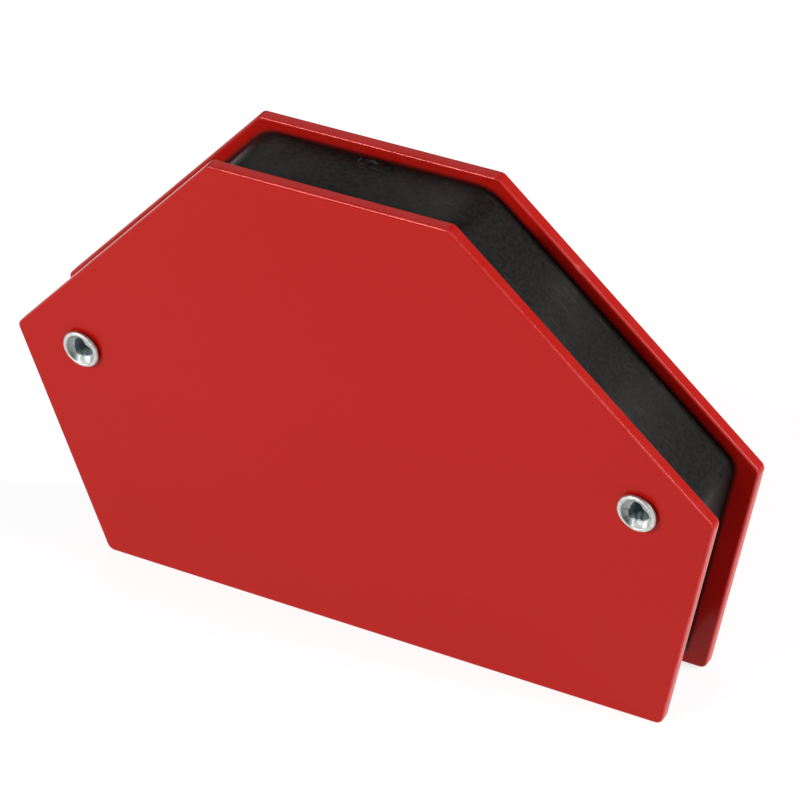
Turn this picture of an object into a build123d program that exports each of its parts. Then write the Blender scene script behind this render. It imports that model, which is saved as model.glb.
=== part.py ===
"""Hexagonal welding magnet holder: two steel plates riveted over a moulded core that holds ferrite blocks.

The holder stands on its base edges. X runs along the base, Y through the thickness with the front plate at
-Y, and Z is up. The origin is the middle of the base, halfway between the plates. Sizes are in millimetres.
"""

from build123d import *
from math import cos, radians, sin, sqrt, tan
import os

# Outline of the side plates, between sharp corners. The angles set the joint angles that the holder gives:
# 45 and 135 degrees at the top corners, 60 and 120 at the shoulders, 75 and 105 at the base.
BASE_LENGTH = 90.0
SHOULDER_HEIGHT = 37.3  # height of the widest corners above the base
OVERALL_HEIGHT = 73.8
SIDE_LEAN = 15.0  # how far the lower sides lean out from upright, in degrees
SLANT_ANGLE = 45.0  # how steeply the upper sides rise from level, in degrees

PLATE_THICKNESS = 1.9
PLATE_CORNER_RADIUS = 1.2
PLATE_EDGE_RADIUS = 0.35  # stamped edge rounded over under the powder coat

# The core stands back from the plates' edges, so that only steel touches the work.
CORE_THICKNESS = 10.9
CORE_INSET_BASE = 2.0
CORE_INSET_SIDE = 3.5
CORE_INSET_SLANT = 2.2
CORE_INSET_TOP = 2.0
CORE_CORNER_RADIUS = 3.0  # at the base and the shoulders
CORE_TOP_CORNER_RADIUS = 6.0
CORE_EDGE_RADIUS = 0.3

# Ferrite blocks stand in open pockets and touch both plates: two side by side below, one above them.
POCKET_WALL = 2.0  # least wall between a pocket and the core's base, sides and slants
POCKET_WEB = 3.0  # wall between neighbouring pockets
POCKET_TOP_WALL = 13.0
POCKET_CORNER_RADIUS = 1.0
ROW_DROP = 5.6  # the web between the two rows lies this far below the shoulders
MAGNET_CLEARANCE = 0.15

# Semi-tubular rivets: a low dome head at the back, and a hollow end flared over the front plate.
RIVET_INSET = 11.1  # in from the widest corner, along the length
RIVET_DROP = 0.8  # below the widest corner
RIVET_RADIUS = 2.0
RIVET_PLATE_CLEARANCE = 0.05
RIVET_CORE_CLEARANCE = 0.10
HEAD_RADIUS = 3.2
HEAD_HEIGHT = 0.9
HEAD_RIM = 0.25  # upright edge of the dome head
FLARE_RADIUS = 2.9  # outside of the flared end
FLARE_CREST_RADIUS = 2.45
FLARE_HEIGHT = 0.9
BORE_RADIUS = 1.5
BORE_DEPTH = 4.5  # below the front plate's outer face
BORE_POINT_ANGLE = 118.0

side_run = tan(radians(SIDE_LEAN))
slant_run = 1 / tan(radians(SLANT_ANGLE))
half_thickness = CORE_THICKNESS / 2 + PLATE_THICKNESS
half_length = BASE_LENGTH / 2 + SHOULDER_HEIGHT * side_run
magnet_bevel = POCKET_CORNER_RADIUS * (2 - sqrt(2))  # lies along the middle of the pocket's round corner


def side_x(z, inset):
    """Half width of the outline on its lower, leaning sides at height z."""
    return BASE_LENGTH / 2 + z * side_run - inset / cos(radians(SIDE_LEAN))


def slant_x(z, inset):
    """Half width of the outline on its upper slants at height z."""
    return half_length - (z - SHOULDER_HEIGHT) * slant_run - inset / sin(radians(SLANT_ANGLE))


def outline(insets, radii):
    """The hexagon in the XZ plane, its base, lower sides, slants and top each moved in by its own inset.

    The radii round the corners at the base, the shoulders and the top."""
    base_inset, side_inset, slant_inset, top_inset = insets
    gap = side_inset / cos(radians(SIDE_LEAN)) - slant_inset / sin(radians(SLANT_ANGLE))
    shoulder = SHOULDER_HEIGHT + gap / (side_run + slant_run)
    top = OVERALL_HEIGHT - top_inset
    right = [
        (side_x(base_inset, side_inset), base_inset),
        (side_x(shoulder, side_inset), shoulder),
        (slant_x(top, slant_inset), top),
    ]
    left = [(-x, z) for x, z in reversed(right)]
    hexagon = Polygon(*right, *left, align=None)
    for level in (2, 1, 0):  # from the top down, so that the corners still sharp stay the lowest
        corners = hexagon.vertices().sort_by(Axis.Y)[2 * level : 2 * level + 2]
        hexagon = fillet(corners, radii[level])
    return Plane.XZ * hexagon


def slab(face, thickness, front_y):
    """A face in the XZ plane made solid, from front_y towards +Y."""
    return Pos(0, front_y, 0) * extrude(face, amount=thickness, dir=(0, 1, 0))


def rounded_rims(solid, radius):
    """The solid with the rims of its front and back faces rounded."""
    faces = solid.faces().sort_by(Axis.Y)
    rims = [*faces[0].outer_wire().edges(), *faces[-1].outer_wire().edges()]
    return fillet(rims, radius)


def rivet_places():
    """X and Z of the two rivets, the left one first."""
    x = half_length - RIVET_INSET
    z = SHOULDER_HEIGHT - RIVET_DROP
    return [(-x, z), (x, z)]


def rivet_holes(radius):
    """Two round bars through the whole thickness, for cutting the rivet holes."""
    bar = Rot(90, 0, 0) * Cylinder(radius, 2 * half_thickness)
    return [Pos(x, 0, z) * bar for x, z in rivet_places()]


def side_plate(front_y):
    """One steel side plate, from front_y towards +Y."""
    shape = outline([0] * 4, [PLATE_CORNER_RADIUS] * 3)
    plate = slab(shape, PLATE_THICKNESS, front_y)
    plate = rounded_rims(plate, PLATE_EDGE_RADIUS)
    return plate - rivet_holes(RIVET_RADIUS + RIVET_PLATE_CLEARANCE)


def pockets():
    """Low and high corners, in X and Z, of each magnet pocket, by the name of its place."""
    row = SHOULDER_HEIGHT - ROW_DROP
    floor = CORE_INSET_BASE + POCKET_WALL
    lower_end = side_x(floor, CORE_INSET_SIDE + POCKET_WALL)
    ceiling = OVERALL_HEIGHT - CORE_INSET_TOP - POCKET_TOP_WALL
    upper_end = slant_x(ceiling, CORE_INSET_SLANT + POCKET_WALL)
    half_web = POCKET_WEB / 2
    return {
        "lower_left": ((-lower_end, floor), (-half_web, row - half_web)),
        "lower_right": ((half_web, floor), (lower_end, row - half_web)),
        "upper": ((-upper_end, row + half_web), (upper_end, ceiling)),
    }


def pocket_block(low, high, inset):
    """A rectangle between two corners in X and Z, moved in all round, as a slab between the plates."""
    width = high[0] - low[0] - 2 * inset
    height = high[1] - low[1] - 2 * inset
    middle = Pos((low[0] + high[0]) / 2, 0, (low[1] + high[1]) / 2)
    return middle * Box(width, CORE_THICKNESS, height)


def core():
    """The moulded core: one slab with an open pocket for each magnet and a hole for each rivet."""
    insets = (CORE_INSET_BASE, CORE_INSET_SIDE, CORE_INSET_SLANT, CORE_INSET_TOP)
    shape = outline(insets, (CORE_CORNER_RADIUS, CORE_CORNER_RADIUS, CORE_TOP_CORNER_RADIUS))
    body = slab(shape, CORE_THICKNESS, -CORE_THICKNESS / 2)
    body = rounded_rims(body, CORE_EDGE_RADIUS)
    for low, high in pockets().values():
        pocket = pocket_block(low, high, 0)
        body -= fillet(pocket.edges().filter_by(Axis.Y), POCKET_CORNER_RADIUS)
    return body - rivet_holes(RIVET_RADIUS + RIVET_CORE_CLEARANCE)


def magnet(low, high):
    """One ferrite block, its long edges bevelled to clear the pocket's rounded corners."""
    block = pocket_block(low, high, MAGNET_CLEARANCE)
    return chamfer(block.edges().filter_by(Axis.Y), magnet_bevel)


def rivet(x, z):
    """A set rivet, turned from its half section, whose X is the distance from the axis."""
    back = half_thickness
    front = -half_thickness
    flare_centre = (FLARE_CREST_RADIUS, front)  # the flare is two quarter ellipses about this point
    bore_floor = front + BORE_DEPTH
    bore_tip = bore_floor + BORE_RADIUS / tan(radians(BORE_POINT_ANGLE / 2))
    dome_shoulder = back + HEAD_RIM
    dome_top = back + HEAD_HEIGHT
    section = [
        Polyline((0, bore_tip), (0, dome_top)),
        EllipticalCenterArc((0, dome_shoulder), HEAD_RADIUS, dome_top - dome_shoulder, 0),
        Polyline(
            (HEAD_RADIUS, dome_shoulder),
            (HEAD_RADIUS, back),
            (RIVET_RADIUS, back),
            (RIVET_RADIUS, front),
            (FLARE_RADIUS, front),
        ),
        EllipticalCenterArc(flare_centre, FLARE_RADIUS - FLARE_CREST_RADIUS, FLARE_HEIGHT, 270),
        EllipticalCenterArc(flare_centre, FLARE_CREST_RADIUS - BORE_RADIUS, FLARE_HEIGHT, 180),
        Polyline((BORE_RADIUS, front), (BORE_RADIUS, bore_floor), (0, bore_tip)),
    ]
    return Pos(x, 0, z) * revolve(make_face(section), Axis.Y)


def parts():
    """Every piece of the holder, by node name."""
    left, right = rivet_places()
    pieces = {
        "front_plate": side_plate(-half_thickness),
        "back_plate": side_plate(half_thickness - PLATE_THICKNESS),
        "core": core(),
        "rivet_left": rivet(*left),
        "rivet_right": rivet(*right),
    }
    for place, (low, high) in pockets().items():
        pieces[f"magnet_{place}"] = magnet(low, high)
    return pieces


os.makedirs("parts", exist_ok=True)
for name, piece in parts().items():
    piece.label = name
    export_step(piece, f"parts/{name}.step")
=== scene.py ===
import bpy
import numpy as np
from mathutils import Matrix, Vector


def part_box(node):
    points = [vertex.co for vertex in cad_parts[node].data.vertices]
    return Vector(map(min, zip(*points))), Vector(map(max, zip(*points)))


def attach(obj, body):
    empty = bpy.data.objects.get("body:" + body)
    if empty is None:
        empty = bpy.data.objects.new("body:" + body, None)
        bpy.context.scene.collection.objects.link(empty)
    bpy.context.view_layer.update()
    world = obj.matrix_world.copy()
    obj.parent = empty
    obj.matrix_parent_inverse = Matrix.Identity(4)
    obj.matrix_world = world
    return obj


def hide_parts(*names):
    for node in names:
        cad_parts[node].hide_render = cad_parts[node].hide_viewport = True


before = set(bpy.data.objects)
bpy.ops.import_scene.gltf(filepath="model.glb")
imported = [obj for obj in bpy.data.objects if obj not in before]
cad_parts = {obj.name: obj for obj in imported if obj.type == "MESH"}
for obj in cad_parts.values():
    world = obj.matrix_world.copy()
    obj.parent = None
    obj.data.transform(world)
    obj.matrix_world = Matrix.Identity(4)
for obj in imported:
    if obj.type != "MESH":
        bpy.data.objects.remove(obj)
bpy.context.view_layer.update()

# A hexagonal welding magnet holder: two powder-coated steel plates riveted over a black moulded core that
# holds three ferrite magnets. X runs along the base, Y through the thickness with the front plate at -Y, and
# Z is up.

MM = 0.001

# The plates, between sharp corners.
BASE_LENGTH = 90.0 * MM
SHOULDER_HEIGHT = 37.3 * MM
SIDE_LEAN = np.radians(15)
SLANT_ANGLE = np.radians(45)
PLATE_CORNER_RADII = dict.fromkeys(("base", "shoulder", "top"), 1.2 * MM)
PLATE_RIM_RADIUS = 0.35 * MM
NICKS = {  # in the plates' front rims: X, Z and size of each
    "front_plate": np.array([(-17.9, 73.4, 0.7)]) * MM,
    "back_plate": np.array([(29.7, 62.6, 0.5)]) * MM,
}
NICK_DEPTH = 0.16 * MM
NO_INSETS = dict(base=0, side=0, slant=0, top=0)

# The core, and how far each of its sides stands back from the plates' edges.
CORE_INSETS = dict(base=2.0 * MM, side=3.5 * MM, slant=2.2 * MM, top=2.0 * MM)
CORE_CORNER_RADII = dict(base=3.0 * MM, shoulder=3.0 * MM, top=6.0 * MM)
CORE_RIM_RADIUS = 0.3 * MM
CORE_WAVE = 0.05 * MM
CORE_SCUFFS = MM * np.array(  # rubbed patches: X, Z and size of each
    [(-13, 72, 5), (10, 72, 6), (30, 59, 5), (41, 48, 5), (-40, 50, 7), (50, 20, 8)]
)
MAGNET_CLEARANCE = 0.15 * MM
# How far the painted shade along the plates' joint with the core reaches.
JOINT_SHADE_REACH = 0.9 * MM
CORNER_BLEND = 2.6 * MM  # how far the painted joint shade's outline is eased round a corner

# The torn-off moulding gate, in the middle of the core's top against the back plate.
GATE_LENGTH = 6.0 * MM
GATE_WIDTH = 2.0 * MM
GATE_HEIGHT = 0.34 * MM
GATE_ROOT = 0.25 * MM

# The tubular rivets, from the axis outwards.
BORE_RADIUS = 1.4 * MM
BORE_DEPTH = 4.5 * MM
MOUTH_ROUND = 0.14 * MM
SHANK_RADIUS = 2.0 * MM
CREST_RADIUS = 2.55 * MM
FLARE_RADIUS = 2.9 * MM
FLARE_HEIGHT = 0.88 * MM
LIP_SLOPE = 42
FOOT_RADIUS = 2.35 * MM
HOLE_CLEARANCE = 0.05 * MM
HEAD_RADIUS = 3.2 * MM
HEAD_RIM = 0.25 * MM
LOBE_DEPTH = 3.2 * MM  # the lobed mouth is round again this far down
PLEAT_PITCH = 0.3 * MM
PLEAT_START = 1.2 * MM
PLEAT_END = 4 * MM

# Steps and angles of the meshes.
ARC_STEP = 0.15 * MM
PLATE_SPACING = 0.5 * MM
CORE_SPACING = 0.6 * MM
CREASE_ANGLE = np.radians(40)
THROUGH = 20 * MM  # well past both plates


# ---------------------------------------------------------------- surfaces


def closed_skin(name, rings, **attributes):
    """A closed, smooth-shaded piece from an array of rings x points x (X, Y, Z).

    Quads join each ring to the next, and a flat face closes the first and the last. The points run
    anticlockwise as seen from outside the first ring. Each attribute has a number or a vector for every
    point."""
    rows, columns = rings.shape[:2]
    row, here = np.meshgrid(np.arange(rows - 1) * columns, np.arange(columns), indexing="ij")
    after = (here + 1) % columns
    quads = np.stack([row + here, row + columns + here, row + columns + after, row + after], -1)
    faces = quads.reshape(-1, 4).tolist()
    faces.append(list(range(columns)))
    faces.append(list(range(rows * columns - 1, (rows - 1) * columns - 1, -1)))
    mesh = bpy.data.meshes.new(name)
    mesh.from_pydata(rings.reshape(-1, 3).tolist(), [], faces)
    mesh.shade_smooth()
    for key, values in attributes.items():
        kind, field = ("FLOAT_VECTOR", "vector") if np.ndim(values) == 3 else ("FLOAT", "value")
        mesh.attributes.new(key, kind, "POINT").data.foreach_set(field, np.float32(values).ravel())
    made = bpy.data.objects.new(name, mesh)
    bpy.context.scene.collection.objects.link(made)
    return made


def hexagon_sides(insets):
    """The six sides in X and Z, moved in by their insets: the normals' angles, normals and distances.

    Each side is the line normal . p = distance."""
    rise, lean = SLANT_ANGLE, SIDE_LEAN
    angles = np.array([-np.pi / 2, -lean, np.pi / 2 - rise, np.pi / 2, np.pi / 2 + rise, np.pi + lean])
    normals = np.stack([np.cos(angles), np.sin(angles)], 1)
    shoulder = np.array([BASE_LENGTH / 2 + SHOULDER_HEIGHT * np.tan(lean), SHOULDER_HEIGHT])
    side = BASE_LENGTH / 2 * np.cos(lean) - insets["side"]
    slant = shoulder @ normals[2] - insets["slant"]
    distances = np.array([-insets["base"], side, slant, plate_height - insets["top"], slant, side])
    return angles, normals, distances


def hexagon(insets, radii, spacing):
    """Points round the hexagon in X and Z, anticlockwise from the front, their outward normals and the way.

    A corner of radius r is the arc about the point where the two sides' lines moved in by r cross, from
    one side's normal to the next. Straight runs between the arcs are divided."""
    angles, normals, distances = hexagon_sides(insets)
    corner_radii = [radii[level] for level in ("base", "base", "shoulder", "top", "top", "shoulder")]
    points, outward = [], []
    for i, radius in enumerate(corner_radii):
        before = i - 1
        centre = np.linalg.solve(normals[[before, i]], distances[[before, i]] - radius)
        start = angles[before] - (2 * np.pi if i == 0 else 0)
        steps = max(8, int(radius * (angles[i] - start) / ARC_STEP))
        turn = np.linspace(start, angles[i], steps + 1)
        directions = np.stack([np.cos(turn), np.sin(turn)], 1)
        points.append(centre + radius * directions)
        outward.append(directions)
    for i in range(6):
        here, there = points[2 * i][-1], points[(2 * i + 1) % len(points)][0]
        share = np.linspace(0, 1, int(np.linalg.norm(there - here) / spacing) + 1)[1:-1, None]
        points.insert(2 * i + 1, here + share * (there - here))
        outward.insert(2 * i + 1, np.repeat(normals[i][None], len(share), 0))
    line = np.concatenate(points)
    steps = np.linalg.norm(np.diff(line, axis=0), axis=1)
    return line, np.concatenate(outward), np.concatenate([[0], np.cumsum(steps)])


def slab(name, insets, radii, front, back, rim, spacing, hollow, scuffs=()):
    """A closed hexagonal slab with rounded rims and flat faces: point = outline - normal x (inset + hollow).

    Across the thickness the inset goes from a flat margin round a quarter circle to the edge, along it and
    back. hollow(x, y, z) gives how far in the edge lies at each point. "run" is the way round, "rim" is 1
    about a third of the way in along the rounding and fades to both sides, and "scuff" is the sum of
    exp(-(distance / size) squared) from each scuff's place."""
    line, outward, way = hexagon(insets, radii, spacing)
    quarter = np.linspace(0, np.pi / 2, 7)
    flat = np.linspace(front + rim, back - rim, max(3, int((back - front) / spacing)))[1:-1]
    curve_in, curve_along = rim * (1 - np.sin(quarter)), rim * (1 - np.cos(quarter))
    margin = [1.6 * rim]
    inset = np.concatenate([margin, curve_in, 0 * flat, curve_in[::-1], margin])[:, None]
    y = np.concatenate([[front], front + curve_along, flat, back - curve_along[::-1], [back]])[:, None]
    x, z, y = line[:, 0] + 0 * y, line[:, 1] + 0 * y, y + 0 * line[:, 0]
    spread = inset + hollow(x, y, z) * np.clip(1 - inset / rim, 0, 1)
    rings = np.stack([x - outward[:, 0] * spread, y, z - outward[:, 1] * spread], -1)
    # rim marks the band along the rounding where the coat's highlight is painted.
    steepest = np.clip(1 - np.abs(inset / rim - 0.3) / 0.35, 0, 1)
    rubbed = sum((np.exp(-((x - sx) ** 2 + (z - sz) ** 2) / size**2) for sx, sz, size in scuffs), 0 * x)
    return closed_skin(name, rings, rim=steepest + 0 * x, run=way + 0 * x, scuff=rubbed)


def prism(corners, front, back):
    """A closed bar along Y to cut with: corners in X and Z, anticlockwise, carried from front to back."""
    ends = [np.stack([corners[:, 0], y + 0 * corners[:, 0], corners[:, 1]], 1) for y in (front, back)]
    return closed_skin("cutter", np.stack(ends))


def circle(radius, x, z):
    """Points of a circle in X and Z: centre + radius x (cos, sin)."""
    turn = np.linspace(0, 2 * np.pi, 96, endpoint=False)
    return np.stack([x + radius * np.cos(turn), z + radius * np.sin(turn)], 1)


def cut(piece, cutters):
    """The piece with the cutters taken out of it for good, and its new sharp edges kept crisp."""
    for cutter in cutters:
        modifier = piece.modifiers.new("cut", "BOOLEAN")
        modifier.object = cutter
        modifier.solver = "EXACT"
    bpy.context.view_layer.update()
    evaluated = piece.evaluated_get(bpy.context.evaluated_depsgraph_get())
    mesh = bpy.data.meshes.new_from_object(evaluated)
    piece.modifiers.clear()
    piece.data = mesh
    mesh.set_sharp_from_angle(angle=CREASE_ANGLE)
    for cutter in cutters:
        bpy.data.objects.remove(cutter)
    return piece


def arc(centre, radii, start, end, count):
    """Points of an ellipse arc: centre + (a cos, b sin), between two angles in degrees."""
    turn = np.radians(np.linspace(start, end, count))
    return np.stack([centre[0] + radii[0] * np.cos(turn), centre[1] + radii[1] * np.sin(turn)], 1)


def rivet_profile():
    """(Radius, y) points of a set rivet, from the bottom of its bore over the flare and back to the dome.

    The flare's lip is an arc in section, which inwards falls at the lip's slope and outwards turns under.
    From there an undercut runs in to the plate. The dish eases off from the lip's slope towards the bore's
    mouth: depth = lip's depth + slope x (s - 0.2 s^2). Also gives how many points lie inside the lip."""
    crest = front_face - FLARE_HEIGHT
    lip = FLARE_RADIUS - CREST_RADIUS
    curl = arc((CREST_RADIUS, crest + lip), (lip, lip), -90 - LIP_SLOPE, 35, 30)
    undercut = np.linspace(curl[-1], (FOOT_RADIUS, front_face), 12)[1:]
    flare = np.concatenate([curl, undercut])
    reach = flare[0, 0] - BORE_RADIUS - MOUTH_ROUND
    s = np.linspace(1, 0, 16)[:-1]
    fall = np.tan(np.radians(LIP_SLOPE)) * (s - 0.2 * s**2)
    dish = np.stack([flare[0, 0] - reach * s, flare[0, 1] + reach * fall], 1)
    mouth_y = dish[0, 1] + MOUTH_ROUND
    mouth = arc((BORE_RADIUS + MOUTH_ROUND, mouth_y), (MOUTH_ROUND, MOUTH_ROUND), 180, 270, 8)[:-1]
    floor = crest + BORE_DEPTH
    bore = [(BORE_RADIUS, y) for y in np.linspace(floor, mouth_y, 34)[:-1]]
    shank = [(SHANK_RADIUS, y) for y in np.linspace(front_face, back_face, 9)]
    head = [(HEAD_RADIUS - 0.1 * MM, back_face), (HEAD_RADIUS, back_face + 0.02 * MM)]
    dome = arc((0, back_face + HEAD_RIM), (HEAD_RADIUS, dome_height - HEAD_RIM), 0, 88, 18)
    point = [(0.02 * MM, floor + 0.6 * BORE_RADIUS)]
    inner = len(point) + len(bore) + len(mouth) + len(dish)
    return np.concatenate([point, bore, mouth, dish, flare, shank, head, dome]), inner


def rivet(name, x, z, lobes, folds, pleats):
    """A rivet as set, turned about Y, with the three-lobed mouth that its tail takes as it is rolled over.

    Inside the flare the radius gains lobes x cos(3 turn) + folds x cos(2 turn), each (size, angle it points
    to), fading to nothing at the crest and at the lobes' depth. Where that draws the mouth in, the metal
    rises. Down the bore, pleats x cos(9 turn + depth) wrinkle the wall. Outside, cos(2 turn) and cos(7 turn)
    make the rolled edge uneven.

    "spoke" is the direction from the axis and how far in, moved on a little from one rivet to the other, so
    that a pattern on it fans out. "worked" is 0.6 on the tail's side. The last attribute is painted shade
    that
    greys the dish: none on its right, most on its left and a little below it."""
    profile, inner = rivet_profile()
    turn = np.linspace(0, 2 * np.pi, 144, endpoint=False)
    radius, y = profile[:, :1] + 0 * turn, profile[:, 1:] + 0 * turn
    inside = (np.arange(len(profile)) < inner)[:, None]
    across = np.clip((CREST_RADIUS - radius) / (CREST_RADIUS - BORE_RADIUS), 0, 1) * inside
    depth = np.clip(y - front_face + FLARE_HEIGHT, 0, None) * inside
    fade = across**1.3 * np.clip(1 - depth / LOBE_DEPTH, 0, 1)
    wave = lobes[0] * np.cos(3 * (turn - np.radians(lobes[1])))
    wave = wave + folds[0] * np.cos(2 * (turn - np.radians(folds[1])))
    wrinkle = pleats * np.cos(9 * turn + depth / PLEAT_PITCH) * np.clip(depth / PLEAT_START, 0, 1)
    wrinkle = wrinkle * np.clip(1 - depth / PLEAT_END, 0, 1) * (across > 0.95)
    rolled = np.exp(-(((radius - FLARE_RADIUS) / (0.5 * MM)) ** 2)) * (y < front_face) * (1 - across)
    uneven = rolled * (0.04 * MM * np.cos(2 * turn + 0.4) + 0.015 * MM * np.cos(7 * turn))
    raised = np.clip(-wave, 0, None) * 2.2 * fade * (1 - fade)
    radius, y = radius + wave * fade + wrinkle - np.abs(uneven), y - raised
    rings = np.stack([x + radius * np.cos(turn), y, z + radius * np.sin(turn)], -1)
    spoke = np.stack([np.cos(turn) + 0 * y, np.sin(turn) + 0 * y, across + x / (9 * MM)], -1)
    worked = 0.6 * (y < front_face) + 0 * y
    # Painted shade greying the rivet's dish: none on its right, most on its left and a little below it.
    dull = np.clip(across / 0.3, 0, 1) * (0.5 - 0.5 * np.cos(turn - np.radians(10))) * (1 - 0.4 * across)
    return closed_skin(name, rings, recess=across, spoke=spoke, worked=worked, dull=dull)


def gate_vestige(name, x, y, z):
    """The stub where the moulding gate was torn off: a patch over ring r (0 to 1) and angle.

    height = a low lip near r = 0.7, uneven by cos(3 angle), cos(7 angle) and cos(13 angle) + a tongue of
    flash across the middle + a thin curl at the left + a lobe at the right, round a pit at the level of the
    core's face. From r = 0.88 it dips under that face to its root. "scuff" grows with the height, as the
    tallest flash tore pale."""
    r = np.linspace(0.03, 1, 30)[:, None]
    angle = np.linspace(0, 2 * np.pi, 72, endpoint=False)
    along, across = r * np.cos(angle), r * np.sin(angle)
    ragged = 0.7 + 0.22 * np.cos(3 * angle + 1.1) + 0.16 * np.cos(7 * angle + 0.4)
    ragged = ragged + 0.1 * np.cos(13 * angle)
    lip = 0.45 * ragged * np.exp(-(((r - 0.7 - 0.06 * np.cos(5 * angle)) / 0.13) ** 2))
    tongue = np.exp(-(((across - 0.25 + 0.4 * along) / 0.12) ** 2) - ((along + 0.15) / 0.3) ** 2)
    bowed = along + 0.78 + 0.5 * (across - 0.1) ** 2
    curl = 1.2 * np.exp(-((bowed / 0.07) ** 2) - ((across - 0.1) / 0.5) ** 2)
    lobe = 0.4 * np.exp(-((along - 0.55) ** 2 + (across + 0.1) ** 2) / 0.05)
    proud = lip + tongue + curl + lobe
    height = GATE_HEIGHT * (0.1 + proud)
    height = height * np.clip((1 - r) / 0.12, 0, 1) - 0.1 * MM * np.clip((r - 0.85) / 0.15, 0, 1)
    top = np.stack([x + GATE_LENGTH / 2 * along, y + GATE_WIDTH / 2 * across, z + height], -1)
    root = top[-1:] * [1, 1, 0] + [0, 0, z - GATE_ROOT]
    rings = np.concatenate([top, root])
    torn = np.concatenate([np.clip(1.3 * proud - 0.6, 0, 1.5), 0 * proud[-1:]])
    return closed_skin(name, rings, run=rings[:, :, 0], scuff=torn)


# ---------------------------------------------------------------- materials

CHIP_WEAR = 0.5  # how much stronger the painted rim highlight is at a nick, where the coat is also worn
STEEL_SHOWING = 0.4  # how metallic the coat is where the rim highlight is painted, with the steel showing through the thin coat
RIM_POLISH = 0.2  # how much less rough the coat is where the rim highlight is painted
JOINT_SHADE_MATT = 0.4  # how much rougher the coat is where the joint shade is painted


def linear(code):
    """An sRGB hex colour as linear RGBA."""
    value = np.array([int(code[i : i + 2], 16) for i in (1, 3, 5)]) / 255
    value = np.where(value <= 0.04045, value / 12.92, ((value + 0.055) / 1.055) ** 2.4)
    return (*value.tolist(), 1.0)


def node(tree, kind, inputs=None, **settings):
    """Adds a node. Each input is a value, or an output socket to link, by the input's name or number."""
    made = tree.nodes.new("ShaderNode" + kind)
    for key, value in settings.items():
        setattr(made, key, value)
    for key, value in (inputs or {}).items():
        if isinstance(value, bpy.types.NodeSocket):
            tree.links.new(value, made.inputs[key])
        else:
            made.inputs[key].default_value = value
    return made


def new_material(name, shader_inputs):
    """A material with one Principled shader, whose constant inputs are set here, and Object coordinates."""
    made = bpy.data.materials.new(name)
    made.use_nodes = True
    tree = made.node_tree
    tree.nodes.clear()
    shader = node(tree, "BsdfPrincipled", shader_inputs)
    node(tree, "OutputMaterial", {"Surface": shader.outputs[0]})
    place = node(tree, "TexCoord").outputs["Object"]
    return made, tree, shader, place


def finish(tree, shader, colour, roughness, height, relief):
    """Links a material's colour and roughness, and a height that stands relief metres proud at most."""
    tree.links.new(colour, shader.inputs["Base Color"])
    tree.links.new(roughness, shader.inputs["Roughness"])
    bump = node(tree, "Bump", {"Height": height, "Strength": 1.0, "Distance": relief})
    tree.links.new(bump.outputs[0], shader.inputs["Normal"])


def shade_along_joint(tree, place):
    """Painted shade at a plate's joint with the core: most at the core's outline, 0 at its reach, inner
    faces only.

    The distance outside the outline is the largest of normal . p - distance over the sides, with X folded
    over, and it is eased round the corners."""
    axes = node(tree, "SeparateXYZ", {0: place})
    folded_x = node(tree, "Math", {0: axes.outputs[0]}, operation="ABSOLUTE")
    folded = node(tree, "CombineXYZ", {0: folded_x.outputs[0], 2: axes.outputs[2]})
    normals, distances = hexagon_sides(CORE_INSETS)[1:]
    outside = None
    for normal, distance in list(zip(normals, distances))[:4]:
        reached = {0: folded.outputs[0], 1: (normal[0], 0, normal[1])}
        along = node(tree, "VectorMath", reached, operation="DOT_PRODUCT").outputs["Value"]
        beyond = node(tree, "Math", {0: along, 1: distance}, operation="SUBTRACT").outputs[0]
        if outside is None:
            outside = beyond
        else:
            both = {0: outside, 1: beyond, 2: CORNER_BLEND}
            outside = node(tree, "Math", both, operation="SMOOTH_MAX").outputs[0]
    fading = {0: outside, "From Min": 0.05 * MM, "From Max": JOINT_SHADE_REACH, "To Min": 0.94, "To Max": 0.0}
    near = node(tree, "MapRange", fading, interpolation_type="SMOOTHSTEP")
    off_middle = node(tree, "Math", {0: axes.outputs[1]}, operation="ABSOLUTE")
    inner_face = {"From Min": back_low.y + 0.02 * MM, "From Max": back_low.y + 0.1 * MM}
    facing_in = inner_face | {0: off_middle.outputs[0], "To Min": 1.0, "To Max": 0.0}
    inner = node(tree, "MapRange", facing_in)
    return node(tree, "Math", {0: near.outputs[0], 1: inner.outputs[0]}, operation="MULTIPLY").outputs[0]


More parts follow.
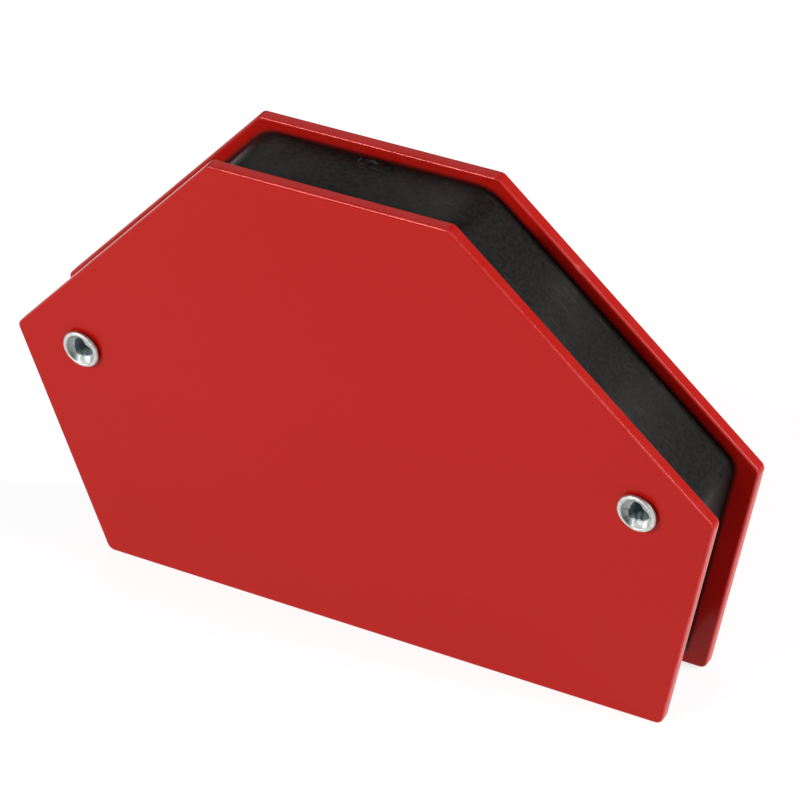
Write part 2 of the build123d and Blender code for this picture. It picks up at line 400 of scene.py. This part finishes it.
def powder_coat():
    """Gloss polyester powder, sprayed and baked: one even deep red. A painted highlight makes the rims
    pinker, patchy and strongest at the nicks; the coat is thin there too, partly metallic and less rough.
    Faint orange peel breaks up the gloss. Painted shade darkens and roughens the corner between each plate's
    inner face and the core."""
    shine = {"IOR": 1.5, "Specular IOR Level": 0.12}
    made, tree, shader, place = new_material("red polyester powder coat, baked", shine)
    slow = node(tree, "TexNoise", {"Vector": place, "Scale": 1 / (45 * MM), "Detail": 2.0})
    mottle = node(tree, "TexNoise", {"Vector": place, "Scale": 1 / (4 * MM), "Detail": 3.0})
    reds = {0: slow.outputs[0], 6: linear("#A8130B"), 7: linear("#AB140C")}
    tone = node(tree, "Mix", reds, data_type="RGBA")
    rim = node(tree, "Attribute", attribute_name="rim")
    patches = {0: mottle.outputs[0], "From Min": 0.35, "From Max": 0.65, "To Min": 0.12, "To Max": 0.32}
    patchy = node(tree, "MapRange", patches)
    chips = node(tree, "Attribute", attribute_name="scuff")
    chipped = {0: chips.outputs["Fac"], 1: CHIP_WEAR, 2: patchy.outputs[0]}
    bare = node(tree, "Math", chipped, operation="MULTIPLY_ADD")
    # Painted highlight along the rims: pale pink mixed in by the rim band, patchy and strongest at the
    # nicks, where the coat is also thin; it also makes the coat there partly metallic and less rough.
    thin_coat_and_highlight = node(tree, "Math", {0: rim.outputs["Fac"], 1: bare.outputs[0]}, operation="MULTIPLY")
    reds = {0: thin_coat_and_highlight.outputs[0], 6: tone.outputs[2], 7: linear("#D87070")}
    clean = node(tree, "Mix", reds, data_type="RGBA")
    steel = node(tree, "Math", {0: thin_coat_and_highlight.outputs[0], 1: STEEL_SHOWING}, operation="MULTIPLY")
    tree.links.new(steel.outputs[0], shader.inputs["Metallic"])
    joint_shade = shade_along_joint(tree, place)
    # Painted shade: near-black mixed into the coat along each plate's joint with the core.
    reds = {0: joint_shade, 6: clean.outputs[2], 7: linear("#160504")}
    colour = node(tree, "Mix", reds, data_type="RGBA")
    gloss = {0: mottle.outputs[0], "From Min": 0.3, "From Max": 0.7, "To Min": 0.18, "To Max": 0.24}
    even = node(tree, "MapRange", gloss)
    smoothed = {0: thin_coat_and_highlight.outputs[0], 1: -RIM_POLISH, 2: even.outputs[0]}
    sleek = node(tree, "Math", smoothed, operation="MULTIPLY_ADD")
    rough = node(tree, "Math", {0: joint_shade, 1: JOINT_SHADE_MATT, 2: sleek.outputs[0]}, operation="MULTIPLY_ADD")
    peel = node(tree, "TexNoise", {"Vector": place, "Scale": 1 / (2.2 * MM), "Detail": 1.0})
    finish(tree, shader, colour.outputs[2], rough.outputs[0], peel.outputs[0], 0.006 * MM)
    return made


def moulded_plastic():
    """Black nylon, injection moulded: satin and finely speckled, with paler rubbed patches and fine drag
    scratches that run along the edge, as the core was pushed between its plates."""
    satin = {"IOR": 1.53, "Specular IOR Level": 0.1}
    made, tree, shader, place = new_material("black nylon, injection moulded", satin)
    run = node(tree, "Attribute", attribute_name="run")
    depth = node(tree, "SeparateXYZ", {0: place})
    drag_way = node(tree, "Math", {0: run.outputs["Fac"], 1: 1 / (6 * MM)}, operation="MULTIPLY")
    drag_pitch = node(tree, "Math", {0: depth.outputs[1], 1: 1 / (0.25 * MM)}, operation="MULTIPLY")
    combed = node(tree, "CombineXYZ", {0: drag_way.outputs[0], 1: drag_pitch.outputs[0]})
    streaks = {"Vector": combed.outputs[0], "Scale": 1.0, "Detail": 4.0, "Roughness": 0.65}
    drag = node(tree, "TexNoise", streaks)
    patches = {"Vector": place, "Scale": 1 / (13 * MM), "Detail": 3.0, "Distortion": 0.6}
    smear = node(tree, "TexNoise", patches)
    scuff = node(tree, "Attribute", attribute_name="scuff")
    clouding = {0: smear.outputs[0], "From Min": 0.35, "From Max": 0.65, "To Min": 0.1}
    cloud = node(tree, "MapRange", clouding)
    rubbed = node(tree, "Math", {0: scuff.outputs["Fac"], 1: cloud.outputs[0]}, operation="MULTIPLY")
    lines = node(tree, "MapRange", {0: drag.outputs[0], "From Min": 0.61, "From Max": 0.69})
    scored = node(tree, "Math", {0: lines.outputs[0], 1: rubbed.outputs[0]}, operation="MULTIPLY")
    grain = node(tree, "TexNoise", {"Vector": place, "Scale": 1 / (0.55 * MM), "Detail": 3.0})
    speckle = node(tree, "MapRange", {0: grain.outputs[0], "From Min": 0.3, "From Max": 0.7})
    greys = {0: speckle.outputs[0], 6: linear("#040404"), 7: linear("#1E1D1B")}
    tone = node(tree, "Mix", greys, data_type="RGBA")
    greys = {0: rubbed.outputs[0], 6: tone.outputs[2], 7: linear("#2B2A29")}
    worn = node(tree, "Mix", greys, data_type="RGBA")
    greys = {0: scored.outputs[0], 6: worn.outputs[2], 7: linear("#5A5856")}
    colour = node(tree, "Mix", greys, data_type="RGBA")
    gloss = {0: drag.outputs[0], "From Min": 0.3, "From Max": 0.7, "To Min": 0.36, "To Max": 0.52}
    rough = node(tree, "MapRange", gloss)
    height = node(tree, "Mix", {0: 0.5, 2: drag.outputs[0], 3: grain.outputs[0]}, data_type="FLOAT")
    finish(tree, shader, colour.outputs[2], rough.outputs[0], height.outputs[0], 0.04 * MM)
    return made


def zinc_plate():
    """Bright zinc plate on cold-headed steel: pale silver with fine marks fanning out from the punch, greyed
    on the dish's left by painted shade, and bluer and less metallic down the bore, where the plating is
    thinner."""
    made, tree, shader, place = new_material("zinc-plated steel, cold headed", {})
    spoke = node(tree, "Attribute", attribute_name="spoke")
    fanned = {"Vector": spoke.outputs["Vector"], "Scale": 7.0, "Detail": 4.0, "Roughness": 0.6}
    fan = node(tree, "TexNoise", fanned)
    pits = node(tree, "TexNoise", {"Vector": place, "Scale": 1 / (0.5 * MM), "Detail": 3.0})
    worked = node(tree, "Attribute", attribute_name="worked")
    marked = {0: worked.outputs["Fac"], 2: pits.outputs[0], 3: fan.outputs[0]}
    marks = node(tree, "Mix", marked, data_type="FLOAT")
    silver = node(tree, "MapRange", {0: marks.outputs[0], "From Min": 0.35, "From Max": 0.65})
    greys = {0: silver.outputs[0], 6: linear("#B4B8B6"), 7: linear("#DADCD8")}
    tone = node(tree, "Mix", greys, data_type="RGBA")
    recess = node(tree, "Attribute", attribute_name="recess")
    dull = node(tree, "Attribute", attribute_name="dull")
    # Painted shade: the dish is mixed towards dark grey on its left.
    greys = {0: dull.outputs["Fac"], 6: tone.outputs[2], 7: linear("#6C7270")}
    dish_shaded_tone = node(tree, "Mix", greys, data_type="RGBA")
    deep = node(tree, "MapRange", {0: recess.outputs["Fac"], "From Min": 0.88, "From Max": 1.0})
    greys = {0: deep.outputs[0], 6: dish_shaded_tone.outputs[2], 7: linear("#8E9B9E")}
    colour = node(tree, "Mix", greys, data_type="RGBA")
    bare = node(tree, "MapRange", {0: deep.outputs[0], "To Min": 1.0, "To Max": 0.45})
    tree.links.new(bare.outputs[0], shader.inputs["Metallic"])
    rough_range = {0: marks.outputs[0], "From Min": 0.3, "From Max": 0.7, "To Min": 0.46, "To Max": 0.58}
    rough = node(tree, "MapRange", rough_range)
    finish(tree, shader, colour.outputs[2], rough.outputs[0], marks.outputs[0], 0.02 * MM)
    return made


def sintered_ferrite():
    """Strontium ferrite, sintered and ground: charcoal grey and matt, with parallel grinding lines."""
    made, tree, shader, place = new_material("strontium ferrite, sintered and ground", {"IOR": 2.0})
    lines = node(tree, "Mapping", {"Vector": place, "Scale": (0.06, 1.0, 1.0)})
    ground = node(tree, "TexNoise", {"Vector": lines.outputs[0], "Scale": 1 / (0.4 * MM), "Detail": 4.0})
    greys = {0: ground.outputs[0], 6: linear("#2C2C2E"), 7: linear("#3E3E41")}
    colour = node(tree, "Mix", greys, data_type="RGBA")
    rough = node(tree, "MapRange", {0: ground.outputs[0], "To Min": 0.5, "To Max": 0.75})
    finish(tree, shader, colour.outputs[2], rough.outputs[0], ground.outputs[0], 0.01 * MM)
    return made


def light_table():
    """A translucent white acrylic table top, lit from below, so that shadows on it stay faint."""
    lit = {"Specular IOR Level": 0.05, "Emission Color": (1, 1, 1, 1), "Emission Strength": 0.76}
    made, tree, shader, place = new_material("white translucent acrylic, lit from below", lit)
    cloud = node(tree, "TexNoise", {"Vector": place, "Scale": 2.0})
    whites = {0: cloud.outputs[0], 6: linear("#A0A0A0"), 7: linear("#A4A4A4")}
    colour = node(tree, "Mix", whites, data_type="RGBA")
    rough = node(tree, "MapRange", {0: cloud.outputs[0], "To Min": 0.85, "To Max": 0.95})
    finish(tree, shader, colour.outputs[2], rough.outputs[0], cloud.outputs[0], 0.01 * MM)
    return made


def place_piece(piece, material, slot, *nodes):
    """Gives a piece its material, its place on the holder and the CAD nodes that it stands for."""
    piece.data.materials.clear()
    piece.data.materials.append(material)
    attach(piece, "root")
    if nodes:
        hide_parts(*nodes)


# ---------------------------------------------------------------- the holder

front_low, front_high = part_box("front_plate")
back_low, back_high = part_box("back_plate")
core_low, core_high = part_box("core")
front_face, back_face = front_low.y, back_high.y
plate_height = front_high.z
dome_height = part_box("rivet_left")[1].y - back_face

coat, plastic, zinc, ferrite = powder_coat(), moulded_plastic(), zinc_plate(), sintered_ferrite()

rivet_places = {}
for side in ("left", "right"):
    low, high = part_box(f"rivet_{side}")
    rivet_places[side] = ((low.x + high.x) / 2, (low.z + high.z) / 2)


def nicked(nicks, face):
    """Knocks in a plate's front rim: each is the nick's depth x exp(-(distance / size) squared)."""

    def hollow(x, y, z):
        away = [((x - nx) ** 2 + (z - nz) ** 2 + 2 * (y - face) ** 2) / size**2 for nx, nz, size in nicks]
        return NICK_DEPTH * sum(np.exp(-each) for each in away)

    return hollow


def moulding_wave(x, y, z):
    """Sink and warp of the moulded edge: two slow waves, up to about twice the wave's size inwards."""
    slow = np.sin(x / (6.1 * MM) + 1.3) + 0.6 * np.sin(x / (2.9 * MM) + z / (7.3 * MM) + y / (6.0 * MM))
    return CORE_WAVE * (1.6 + slow) / 1.6


def hole_cutters(radius):
    """A round bar through the whole holder at each rivet."""
    return [prism(circle(radius, x, z), -THROUGH, THROUGH) for x, z in rivet_places.values()]


for name, low, high in (("front_plate", front_low, front_high), ("back_plate", back_low, back_high)):
    plate = slab(
        name + "_coated",
        NO_INSETS,
        PLATE_CORNER_RADII,
        low.y,
        high.y,
        PLATE_RIM_RADIUS,
        PLATE_SPACING,
        nicked(NICKS[name], low.y),
        NICKS[name],
    )
    cut(plate, hole_cutters(SHANK_RADIUS + HOLE_CLEARANCE))
    place_piece(plate, coat, "powder_coat", name)

core = slab(
    "core_moulding",
    CORE_INSETS,
    CORE_CORNER_RADII,
    core_low.y,
    core_high.y,
    CORE_RIM_RADIUS,
    CORE_SPACING,
    moulding_wave,
    CORE_SCUFFS,
)
cutters = hole_cutters(SHANK_RADIUS + 2 * HOLE_CLEARANCE)
for place in ("lower_left", "lower_right", "upper"):
    low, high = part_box(f"magnet_{place}")
    left, right = low.x - MAGNET_CLEARANCE, high.x + MAGNET_CLEARANCE
    under, over = low.z - MAGNET_CLEARANCE, high.z + MAGNET_CLEARANCE
    pocket = np.array([(left, under), (right, under), (right, over), (left, over)])
    cutters.append(prism(pocket, -THROUGH, THROUGH))
    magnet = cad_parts[f"magnet_{place}"]
    magnet.data.materials.clear()
    magnet.data.materials.append(ferrite)
cut(core, cutters)
place_piece(core, plastic, "moulded_core", "core")

gate = gate_vestige("gate_vestige", 0.3 * MM, core_high.y - GATE_WIDTH / 2, core_high.z - CORE_WAVE)
place_piece(gate, plastic, "moulded_core")

tails = {
    "left": dict(lobes=(0.30 * MM, 107), folds=(0.08 * MM, 140), pleats=0.05 * MM),
    "right": dict(lobes=(0.34 * MM, 98), folds=(0.10 * MM, 20), pleats=0.11 * MM),
}
for side, tail in tails.items():
    set_rivet = rivet(f"rivet_{side}_set", *rivet_places[side], **tail)
    place_piece(set_rivet, zinc, "zinc_plate", f"rivet_{side}")


# ---------------------------------------------------------------- stage, light and camera


def toward(azimuth, elevation):
    """The direction at an azimuth from the front, positive to the right, and an elevation, in degrees."""
    a, e = np.radians(azimuth), np.radians(elevation)
    return Vector((np.sin(a) * np.cos(e), -np.cos(a) * np.cos(e), np.sin(e)))


def softbox(name, azimuth, elevation, distance, size, power):
    """A square area light that faces the middle of the holder."""
    light = bpy.data.lights.new(name, "AREA")
    light.size = size
    light.energy = power
    placed = bpy.data.objects.new(name, light)
    placed.location = Vector((0, 0, plate_height / 2)) + toward(azimuth, elevation) * distance
    placed.rotation_euler = toward(azimuth, elevation).to_track_quat("Z", "Y").to_euler()
    bpy.context.scene.collection.objects.link(placed)


FLOOR_HALF = 3.0
FLOOR_THICKNESS = 0.01
floor_corners = FLOOR_HALF * np.array([(-1, -1), (1, -1), (1, 1), (-1, 1)])
sheet = [np.column_stack([floor_corners, np.full(4, z)]) for z in (0, -FLOOR_THICKNESS)]
floor = closed_skin("floor", np.stack(sheet))
floor.data.shade_flat()
floor.data.materials.append(light_table())

softbox("key_front_left", -31, 30, 0.9, 0.12, 4.2)
softbox("scrim_front_left", -31, 30, 0.95, 0.7, 3.4)
softbox("side_right", 102, 25, 1.1, 0.5, 13.5)
softbox("panel_behind_right", 138, 27, 1.3, 1.0, 0.8)
softbox("panel_behind_left", -146, 37, 1.3, 0.7, 1.3)

world = bpy.data.worlds.new("studio")
world.use_nodes = True
backdrop = world.node_tree.nodes["Background"]
backdrop.inputs["Color"].default_value = (1, 1, 1, 1)
backdrop.inputs["Strength"].default_value = 0.05
bpy.context.scene.world = world
bpy.context.scene.view_settings.view_transform = "Standard"

CAMERA_AZIMUTH = 34.546
CAMERA_ELEVATION = 36.681
CAMERA_ROLL = np.radians(6.143)
CAMERA_DISTANCE = 617.066 * MM
CAMERA_AIM = Vector((2.556, 0.976, 36.001)) * MM
CAMERA_LENS = 204.848  # in millimetres, as Blender takes it
camera_data = bpy.data.cameras.new("camera")
camera_data.lens = CAMERA_LENS
camera_data.clip_start, camera_data.clip_end = 0.05, 20.0
camera = bpy.data.objects.new("camera", camera_data)
away = toward(CAMERA_AZIMUTH, CAMERA_ELEVATION)
camera.location = CAMERA_AIM + away * CAMERA_DISTANCE
turn = (-away).to_track_quat("-Z", "Y").to_matrix() @ Matrix.Rotation(-CAMERA_ROLL, 3, "Z")
camera.rotation_euler = turn.to_euler()
bpy.context.scene.collection.objects.link(camera)
bpy.context.scene.camera = camera
